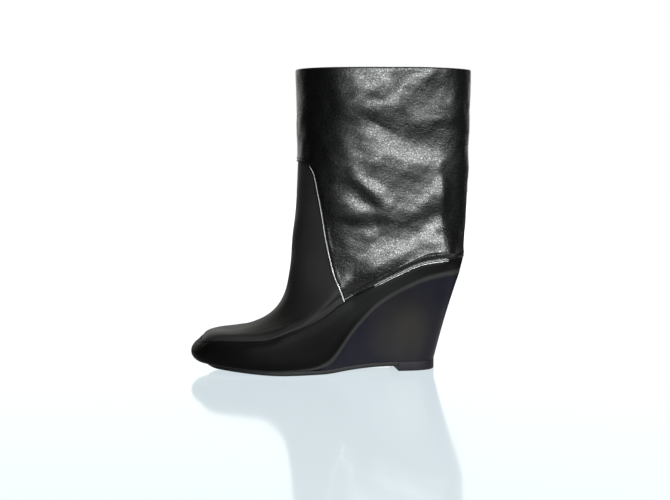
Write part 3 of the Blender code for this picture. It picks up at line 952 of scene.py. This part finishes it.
def wedge_side(angle, up):
    """The wedge's side from the sole (0) to the footbed (1). Ahead of it, the upper's tucked edge."""
    wedge_length = WEDGE_FRONT - WEDGE_BACK
    reach = mix(WEDGE_BACK, LAST_LENGTH, (1 + np.cos(angle)) / 2)
    share = np.clip((reach - WEDGE_BACK) / wedge_length, 0, 1)
    top, top_half = feather_outline(angle, WEDGE_STEP * share - WEDGE_FLARE)
    foot = np.where(top < WEDGE_FRONT, mix(SOLE_BACK, WEDGE_FRONT, (top - WEDGE_BACK) / wedge_length), top)
    foot_half = sole_half(foot, angle) - FOOT_INSET
    tucked, tucked_half = feather_outline(angle, TUCK)
    ahead = np.clip((top - WEDGE_FRONT) / TUCK_RUN + 0.5, 0, 1)
    ahead = ahead * ahead * (3 - 2 * ahead)
    foot = mix(foot, tucked, ahead)
    foot_half = mix(foot_half, tucked_half, ahead)
    foot_height = sole_bottom(foot) + SOLE + GAP / 2
    top_height = feather_height(top) - GAP
    hollow = WEDGE_HOLLOW * np.clip((top_height - foot_height) / SEAT_HEIGHT, 0, 1)
    half = mix(foot_half, top_half, up) - hollow * np.abs(np.sin(angle)) * np.sin(math.pi * up)
    along = mix(foot, top, up) + hollow * np.clip(-np.cos(angle), 0, 1) * np.sin(math.pi * up)
    return place(along, half, mix(foot_height, top_height, up), angle)


def make_cover(material, edge_highlight):
    """One piece of leather from the long seam, over the soft ridge and down the wedge."""
    angles = np.linspace(0, 2 * math.pi, COVER_COLUMNS + 1)
    band = SKIN.point(angles[None, :], np.linspace(SKIN.seam, RIDGE_LEVEL, COVER_STEPS)[:, None], OUTER)
    wedge_length = np.linalg.norm(wedge_side(angles, 1.0) - wedge_side(angles, 0.0), axis=1)
    high = 1 - np.minimum(RIDGE_RUN / wedge_length, RIDGE_SHARE)
    side = np.array([wedge_side(angles, high * (1 - down)) for down in np.linspace(0, 1, COVER_STEPS)])
    gap = np.linalg.norm(side[0] - band[-1], axis=1)[:, None]
    leave = band[-1] - band[-2]
    arrive = side[1] - side[0]
    leave *= RIDGE_PULL * gap / np.linalg.norm(leave, axis=1)[:, None]
    arrive *= RIDGE_PULL * gap / np.linalg.norm(arrive, axis=1)[:, None]
    between = np.linspace(0, 1, RIDGE_STEPS + 2)[1:-1, None, None]
    ridge = curve(between, band[-1], leave, side[0], arrive)
    path = np.concatenate((band, ridge, side))
    steps = np.linalg.norm(np.diff(path, axis=0), axis=2)
    run = np.concatenate((np.zeros((1, path.shape[1])), np.cumsum(steps, axis=0)))
    shares = np.linspace(0, 1, COVER_ROWS + 1)[1:]
    points, on_wedge = [], []
    for column in range(path.shape[1]):
        at = np.concatenate((EDGE_ROWS, mix(EDGE_ROWS[-1], run[-1, column], shares)))
        points.append([np.interp(at, run[:, column], path[:, column, axis]) for axis in range(3)])
        on_wedge.append(np.interp(at, run[[len(band), len(band) + len(ridge)], column], (0, 1)))
    points = np.array(points).transpose(2, 0, 1)
    on_wedge = np.array(on_wedge).T
    points[:, -1] = points[:, 0]
    outward = SKIN.out(angles, np.full(angles.shape, float(SKIN.seam)))
    along = LIFT_CENTRE - points[0, :, 0]
    flush = np.interp(along, FLUSH["along"] * LAST_LENGTH, FLUSH["share"])
    down = np.concatenate((EDGE_ROWS, np.full(COVER_ROWS, 1.0)))[:, None]
    down[len(EDGE_ROWS) :] = np.linspace(EDGE_ROWS[-1], FLUSH_RUN * 1.5, COVER_ROWS)[:, None]
    folded = smooth(FOLDED_EDGE, "rise", down * 1000, "distance") / 1000
    sunk = (FLUSH_LIFT - OUTER) * np.clip(1 - down / FLUSH_RUN, 0, 1) ** 2
    lift = mix(folded, sunk + folded * 0.1, flush[None, :])
    points = points + outward * lift[..., None]
    rows = len(points) - 1

    # Faces of the cover's seam bead that take the painted highlight
    def on_bead(column, row):
        return SEAM_BEAD < rows - row < SEAM_BEAD + highlight_rows(points[0, int(column)])

    mesh = sheet(points[::-1], kind=on_bead, shares=on_wedge[::-1])
    obj = finish_mesh("foxing_and_wedge_cover", mesh, material, edge_highlight)
    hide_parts("foxing", "wedge_heel")
    return points


# Sole, lift and insole

def make_plate(name, alongs, halves, top, thickness, edge, material, replaced):
    """A plate with rounded edges under its outline. halves holds its outer and inner half widths."""
    across = np.linspace(-1, 1, PLATE_COLUMNS + 1)
    sides = np.where(across[None, :] < 0, halves[0][:, None], halves[1][:, None])
    ways = LIFT_CENTRE - alongs[:, None], sides * across[None, :], top[:, None]
    points = np.stack(np.broadcast_arrays(*ways), -1)
    obj = finish_mesh(name, sheet(points), material)
    body = obj.modifiers.new("Thickness", "SOLIDIFY")
    body.thickness = thickness
    body.offset = -1
    rounding = obj.modifiers.new("Edge", "BEVEL")
    rounding.width = edge
    rounding.segments = 3
    rounding.limit_method = "ANGLE"
    rounding.angle_limit = math.radians(50)
    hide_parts(replaced)
    return obj


def both_sides(reader):
    """A width read on the outer and on the inner side."""
    return reader(math.pi / 2), reader(3 * math.pi / 2)


def make_outsole(material):
    """Thin sole from the lift's front face to the toe, which is round."""
    turn = np.linspace(0, math.pi / 2, SOLE_STATIONS)
    alongs = mix(LIFT_FRONT + GAP, SOLE_FRONT, np.sin(turn))
    nose = np.clip((alongs - SOLE_FRONT + NOSE) / NOSE, 0, 1)
    rounding = np.sqrt(1 - nose ** 2)
    halves = [half * rounding for half in both_sides(lambda angle: sole_half(alongs, angle))]
    top = sole_bottom(alongs) + SOLE
    make_plate("outsole_edge", alongs, halves, top, SOLE, SOLE_EDGE, material, "outsole")


def make_heel_lift(material):
    turn = np.linspace(0, math.pi / 2, LIFT_STATIONS)
    alongs = SOLE_BACK + LIFT_LENGTH * (1 - np.cos(turn))
    halves = both_sides(lambda angle: sole_half(alongs, angle))
    top = np.full(alongs.shape, LIFT)
    make_plate("rubber_heel_lift", alongs, halves, top, LIFT, LIFT_EDGE, material, "heel_lift")


def make_insole(material):
    """The padded sock lining on the footbed."""
    turn = np.linspace(math.pi, 0, INSOLE_STATIONS)
    outlines = both_sides(lambda side: feather_outline_at(turn, side))
    alongs = outlines[0][0]
    halves = [outline[1] for outline in outlines]
    top = feather_height(alongs) + INSOLE
    thick = INSOLE - GAP
    make_plate("sock_lining", alongs, halves, top, thick, INSOLE_EDGE, material, "insole")


def feather_outline_at(turn, side):
    """The insole's outline on one side, from the toe (0) to the heel (pi)."""
    angle = turn if side < math.pi else 2 * math.pi - turn
    return feather_outline(np.clip(angle, 1e-6, 2 * math.pi - 1e-6), INSOLE_INSET)


# Thread

def make_thread(name, paths, material):
    """Rows of stitches along paths on a piece's surface."""
    bm = bmesh.new()
    for path in paths:
        steps = np.linalg.norm(np.diff(path, axis=0), axis=1)
        run = np.concatenate(([0], np.cumsum(steps)))
        count = int(run[-1] / STITCH_PITCH)
        for i in range(count):
            ends = [(i + share) * run[-1] / count for share in STITCH_ENDS]
            start, end = (Vector([np.interp(at, run, way) for way in path.T]) for at in ends)
            lay = end - start
            scale = Matrix.Diagonal((lay.length / 2, THREAD / 2, THREAD / 2, 1))
            turn = lay.to_track_quat("X", "Z").to_matrix().to_4x4()
            matrix = Matrix.Translation((start + end) / 2) @ turn @ scale
            bmesh.ops.create_uvsphere(bm, u_segments=6, v_segments=4, radius=1, matrix=matrix)
    obj = finish_mesh(name, bm, material)


# Materials

class Value:
    """A socket of a node, so that shader maths reads as plain expressions."""

    def __init__(self, nodes, socket):
        self.nodes = nodes
        self.socket = socket

    def math(self, operation, *others):
        values = dict(enumerate((self, *others)))
        return self.nodes.node("ShaderNodeMath", {"operation": operation}, values)

    def __add__(self, other):
        return self.math("ADD", other)

    def __sub__(self, other):
        return self.math("SUBTRACT", other)

    def __rsub__(self, other):
        return self.nodes.node("ShaderNodeMath", {"operation": "SUBTRACT"}, {0: other, 1: self})

    def __mul__(self, other):
        return self.math("MULTIPLY", other)

    __radd__ = __add__
    __rmul__ = __mul__

    def clamped(self):
        return self.math("MINIMUM", 1.0).math("MAXIMUM", 0.0)


class Nodes:
    """The nodes of a material or of the world, and the node that takes the finished surface."""

    def __init__(self, owner, end):
        owner.use_nodes = True
        self.tree = owner.node_tree
        self.end = self.tree.nodes[end]

    def node(self, kind, settings, values, output=0):
        """Any node: its settings first, then the values or links of its sockets."""
        made = self.tree.nodes.new(kind)
        for setting, value in settings.items():
            setattr(made, setting, value)
        for socket, value in values.items():
            if isinstance(value, Value):
                self.tree.links.new(value.socket, made.inputs[socket])
            else:
                made.inputs[socket].default_value = value
        return Value(self, made.outputs[output])

    def by_camera(self, mirrored, seen):
        """Ends in one shader for what the camera sees, and another for what the boot mirrors."""
        direct = self.node("ShaderNodeLightPath", {}, {}, "Is Camera Ray")
        both = self.node("ShaderNodeMixShader", {}, {0: direct, 1: mirrored, 2: seen})
        self.tree.links.new(both.socket, self.end.inputs["Surface"])


class Finish(Nodes):
    """A material made of nodes round one Principled shader."""

    def __init__(self, name, **constants):
        self.material = bpy.data.materials.new(name)
        super().__init__(self.material, "Material Output")
        self.shader = self.tree.nodes["Principled BSDF"]
        for socket, value in constants.items():
            self.shader.inputs[socket.replace("_", " ")].default_value = value

    def feed(self, socket, value):
        self.tree.links.new(value.socket, self.shader.inputs[socket])

    def place(self):
        return self.node("ShaderNodeTexCoord", {}, {}, "Object")

    def near(self, middle, reach):
        """One at a place of the boot, falling softly to nothing at the reach round it on each axis."""
        values = {"Vector": self.place(), "Location": middle, "Scale": reach}
        at = self.node("ShaderNodeMapping", {"vector_type": "TEXTURE"}, values)
        ball = self.node("ShaderNodeTexGradient", {"gradient_type": "SPHERICAL"}, {"Vector": at})
        return self.node("ShaderNodeMapRange", {"interpolation_type": "SMOOTHSTEP"}, {"Value": ball})

    def noise(self, size, detail=2.0, roughness=0.5, stretch=(1, 1, 1)):
        """Noise whose blotches are about as large as size, in metres."""
        at = self.node("ShaderNodeMapping", {}, {"Vector": self.place(), "Scale": stretch})
        values = {"Vector": at, "Scale": 1 / size, "Detail": detail, "Roughness": roughness}
        return self.node("ShaderNodeTexNoise", {}, values)

    def cells(self, size, feature):
        """Distance in a warped pattern of cells that are about as large as size, in metres."""
        place = self.place()
        values = {"Vector": place, "Scale": 0.7 / size, "Detail": 1.0}
        warp = self.node("ShaderNodeTexNoise", {}, values, "Color")
        shift = self.node("ShaderNodeVectorMath", {"operation": "SCALE"}, {0: warp, "Scale": size * 0.9})
        at = self.node("ShaderNodeVectorMath", {"operation": "ADD"}, {0: place, 1: shift})
        values = {"Vector": at, "Scale": 1 / size}
        return self.node("ShaderNodeTexVoronoi", {"feature": feature}, values)

    def blend(self, share, first, second):
        """A colour between two. The numbers are the places of the Mix node's colour sockets."""
        return self.node("ShaderNodeMix", {"data_type": "RGBA"}, {0: share, 6: first, 7: second}, 2)

    def bump(self, height, distance, strength=1.0, under=None):
        values = {"Height": height, "Distance": distance, "Strength": strength}
        if under:
            values["Normal"] = under
        return self.node("ShaderNodeBump", {}, values)


def colour(red, green, blue):
    return (red, green, blue, 1)


def pebbled_leather():
    """The leg's glossy leather, with a pebbled grain over soft small wrinkles."""
    made = Finish("pebbled_black_leather", Coat_Roughness=0.26, Specular_IOR_Level=0.22)
    pebbles = made.cells(0.0018, "DISTANCE_TO_EDGE")
    pebble = (pebbles * 4.0).clamped()
    fine = made.noise(0.0014, 1.0, 0.5)
    wrinkles = made.noise(0.0030, 2.0, 0.55, (1, 1, 1.8))
    mottle = ((made.noise(0.0021, 2.0, 0.6, (1, 1, 1.4)) - 0.42) * 5.0).clamped()
    broad = made.noise(0.012, 3.0)
    dull = made.near(DULL_MIDDLE, DULL_REACH)
    deep, light = colour(0.0008, 0.0009, 0.0009), colour(0.0018, 0.0020, 0.0019)
    made.feed("Base Color", made.blend(broad, deep, light))
    made.feed("Roughness", 0.22 + broad * 0.06 + (1 - pebble) * 0.22)
    made.feed("Coat Weight", (0.40 + mottle * 0.60) * (0.35 + pebble * 0.65) * (1 - dull * 0.85))
    relief = made.bump(wrinkles, 0.00034)
    relief = made.bump(fine, 0.00016, under=relief)
    made.feed("Normal", made.bump(pebble, 0.00004, under=relief))
    return made.material


def smooth_leather():
    """Smooth calf with a fine grain and cloudy tones, rougher and painted darker as shade on the vamp, and
    satin on the apron.
    """
    made = Finish(
        "smooth_black_leather",
        Specular_IOR_Level=0.09,
        Coat_Roughness=0.30,
        Coat_Tint=colour(1, 0.97, 0.88),
    )
    cloud = made.noise(0.022, 3.0)
    fine = made.noise(0.0009, 3.0, 0.6)
    pores = made.cells(0.0011, "F1")
    made.feed("Coat Weight", made.near(APRON_MIDDLE, APRON_REACH) * 0.55)
    dull = made.near(VAMP_MIDDLE, VAMP_REACH)
    calf = made.blend(cloud, colour(0.011, 0.011, 0.0106), colour(0.016, 0.016, 0.0155))
    # Darker colour on the vamp: painted shade
    made.feed("Base Color", made.blend(dull, calf, colour(0.004, 0.004, 0.004)))
    made.feed("Roughness", 0.38 + cloud * 0.12 + dull * 0.25)
    relief = made.bump(fine, 0.00003)
    made.feed("Normal", made.bump(pores, 0.00003, 0.7, relief))
    return made.material


def cover_leather():
    """The foxing's dull calf, which turns satin where it covers the wedge, most at its middle. Its colour
    holds painted light: a lighter band on the foxing, a lighter ridge and a lighter, warmer wedge middle.
    """
    made = Finish("cover_black_leather", Coat_Roughness=0.30, Specular_IOR_Level=0.03)
    cloud = made.noise(0.022, 3.0)
    fine = made.noise(0.0009, 3.0, 0.6)
    wedge = made.node("ShaderNodeAttribute", {"attribute_name": "share"}, {}, "Fac")
    middle = made.near(WEDGE_MIDDLE, WEDGE_REACH)
    cool = made.blend(cloud, colour(0.0030, 0.0034, 0.0070), colour(0.0050, 0.0046, 0.0090))
    # Lighter, warmer colour at the wedge's middle: a painted sheen
    painted_sheen_tone = made.blend(cloud, colour(0.0060, 0.0052, 0.0044), colour(0.0100, 0.0088, 0.0076))
    # Lighter foxing under the leg's foot and over the wedge: a painted highlight
    band = made.near(BAND_MIDDLE, BAND_REACH)
    foxing = made.blend(cloud, colour(0.0012, 0.0012, 0.0012), colour(0.0026, 0.0026, 0.0024))
    foxing = made.blend(band, foxing, colour(0.010, 0.010, 0.0105))
    # Lighter colour along the soft ridge between foxing and wedge: a painted highlight
    ridge = wedge * (1 - wedge) * (2.0 + cloud * 2.0)
    tone = made.blend(wedge, foxing, made.blend(middle, cool, painted_sheen_tone))
    made.feed("Base Color", made.blend(ridge, tone, colour(0.026, 0.026, 0.025)))
    made.feed("Roughness", 0.40 + cloud * 0.12)
    made.feed("Coat Weight", wedge * (0.10 + cloud * 0.2 + middle * 0.32))
    made.feed("Normal", made.bump(fine, 0.00003))
    return made.material


def edge_highlight_paint():
    """Light grey colour on the bead of the leg's front edge and of the seam over the wedge: a painted
    highlight on the rounded edge.
    """
    made = Finish("leather_edge_painted_highlight", Coat_Weight=1.0, Coat_Roughness=0.10, Specular_IOR_Level=0.8)
    uneven = made.noise(0.006, 2.0)
    made.feed("Base Color", made.blend(uneven, colour(0.32, 0.32, 0.32), colour(0.60, 0.60, 0.59)))
    made.feed("Roughness", 0.12 + uneven * 0.15)
    made.feed("Normal", made.bump(uneven, 0.00004))
    return made.material


def plain_finish(name, deep, light, roughness, grain, depth, shine=0.5):
    """A plain matt finish with a little grain."""
    made = Finish(name, Specular_IOR_Level=shine)
    grains = made.noise(grain, 3.0, 0.6)
    made.feed("Base Color", made.blend(grains, colour(*deep), colour(*light)))
    made.feed("Roughness", roughness + grains * 0.15)
    made.feed("Normal", made.bump(grains, depth))
    return made.material


def white_floor():
    """Glossy white to the camera. The boot mirrors the white close by and a dim room beyond it."""
    made = Finish(
        "white_studio_floor",
        Base_Color=colour(0.12, 0.12, 0.12),
        Roughness=0.09,
        Emission_Color=FLOOR_GLOW,
        Emission_Strength=1.0,
    )
    values = {"Vector": made.place(), "Scale": FLOOR_REACH}
    at = made.node("ShaderNodeMapping", {"vector_type": "TEXTURE"}, values)
    near = made.node("ShaderNodeTexGradient", {"gradient_type": "SPHERICAL"}, {"Vector": at})
    values = {"Value": near, "From Min": 0.05, "From Max": 0.5, "To Min": 0.02, "To Max": FLOOR_IN_LEATHER}
    glow = made.node("ShaderNodeMapRange", {"interpolation_type": "SMOOTHSTEP"}, values)
    close = made.node("ShaderNodeEmission", {}, {"Color": colour(1, 1, 1), "Strength": glow})
    made.by_camera(close, Value(made, made.shader.outputs[0]))
    return made.material


# Studio

def make_floor():
    bm = bmesh.new()
    bmesh.ops.create_grid(bm, x_segments=1, y_segments=1, size=6)
    linked_mesh("studio_floor", bm, white_floor())


def softbox(name, azimuth, elevation, distance, width, height, watts):
    """A soft light at a bearing from the boot: azimuth 0 is straight in front of its outer side."""
    turn, rise = math.radians(azimuth), math.radians(elevation)
    way = Vector((math.sin(turn) * math.cos(rise), -math.cos(turn) * math.cos(rise), math.sin(rise)))
    light = bpy.data.lights.new(name, "AREA")
    light.shape = "RECTANGLE"
    light.size = width
    light.size_y = height
    light.energy = watts
    light.color = LIGHT_COLOUR
    obj = linked(name, light)
    obj.location = Vector(LIGHT_TARGET) + way * distance
    obj.rotation_euler = (-way).to_track_quat("-Z", "Y").to_euler()


def make_world():
    """White behind the boot. Its leather mirrors that, and a dim room on the camera's side."""
    world = bpy.data.worlds.new("white_studio")
    bpy.context.scene.world = world
    made = Nodes(world, "World Output")
    way = made.node("ShaderNodeTexCoord", {}, {}, "Generated")
    values = {
        "Value": made.node("ShaderNodeSeparateXYZ", {}, {0: way}, "Y"),
        "From Min": BACKDROP_START,
        "From Max": BACKDROP_FULL,
        "To Min": ROOM_LIGHT,
        "To Max": BACKDROP_LIGHT,
    }
    light = made.node("ShaderNodeMapRange", {"interpolation_type": "SMOOTHSTEP"}, values)
    studio = made.node("ShaderNodeBackground", {}, {"Color": colour(1, 0.99, 0.95), "Strength": light})
    backdrop = made.node("ShaderNodeBackground", {}, {"Color": colour(1, 1, 1), "Strength": 1.0})
    made.by_camera(studio, backdrop)


def make_camera():
    turn, tilt = math.radians(CAMERA_AZIMUTH), math.radians(CAMERA_PITCH)
    ahead = Vector((-math.sin(turn) * math.cos(tilt), math.cos(turn) * math.cos(tilt), -math.sin(tilt)))
    data = bpy.data.cameras.new("photograph_view")
    data.lens = CAMERA_LENS
    data.clip_start = 0.05
    obj = linked("photograph_view", data)
    obj.location = CAMERA_PLACE
    obj.rotation_euler = ahead.to_track_quat("-Z", "Y").to_euler()
    bpy.context.scene.camera = obj


def main():
    bpy.context.scene.view_settings.view_transform = "Standard"
    make_camera()
    make_world()
    make_floor()
    softbox("front_softbox", azimuth=21, elevation=9.5, distance=1.7, width=2.1, height=0.46, watts=76)
    softbox("overhead_softbox", azimuth=-40, elevation=62, distance=1.5, width=1, height=1, watts=9)
    # The black thread also paints the shade in the leg's grooves
    thread = plain_finish(
        "black_thread_and_groove_shade", (0.001, 0.001, 0.001), (0.003, 0.003, 0.003),
        roughness=0.5, grain=0.0004, depth=0.00005, shine=0.1,
    )
    lining = plain_finish(
        "dark_lining", (0.02, 0.018, 0.017), (0.05, 0.046, 0.042),
        roughness=0.6, grain=0.0012, depth=0.0001,
    )
    edge = plain_finish(
        "black_sole_edge", (0.003, 0.003, 0.0034), (0.006, 0.006, 0.0068),
        roughness=0.40, grain=0.003, depth=0.00002, shine=0.14,
    )
    rubber = plain_finish(
        "black_rubber", (0.004, 0.0036, 0.0056), (0.008, 0.0070, 0.0110),
        roughness=0.5, grain=0.0015, depth=0.00008, shine=0.14,
    )
    # The light grey edge material is a painted highlight on the folded beads
    edge_highlight = edge_highlight_paint()
    leg_points = make_leg(pebbled_leather(), edge_highlight, thread)
    make_upper(smooth_leather(), lining)
    cover_points = make_cover(cover_leather(), edge_highlight)
    make_outsole(edge)
    make_heel_lift(rubber)
    make_insole(lining)
    make_thread("leg_stitches", [leg_stitches(leg_points)], thread)
    stitch_row = int(np.argmin(np.abs(EDGE_ROWS - COVER_STITCH)))
    front = COVER_COLUMNS // 4
    apron = np.concatenate((cover_points[stitch_row, -front:], cover_points[stitch_row, 1:front]))
    make_thread("apron_stitches", [apron], thread)


main()
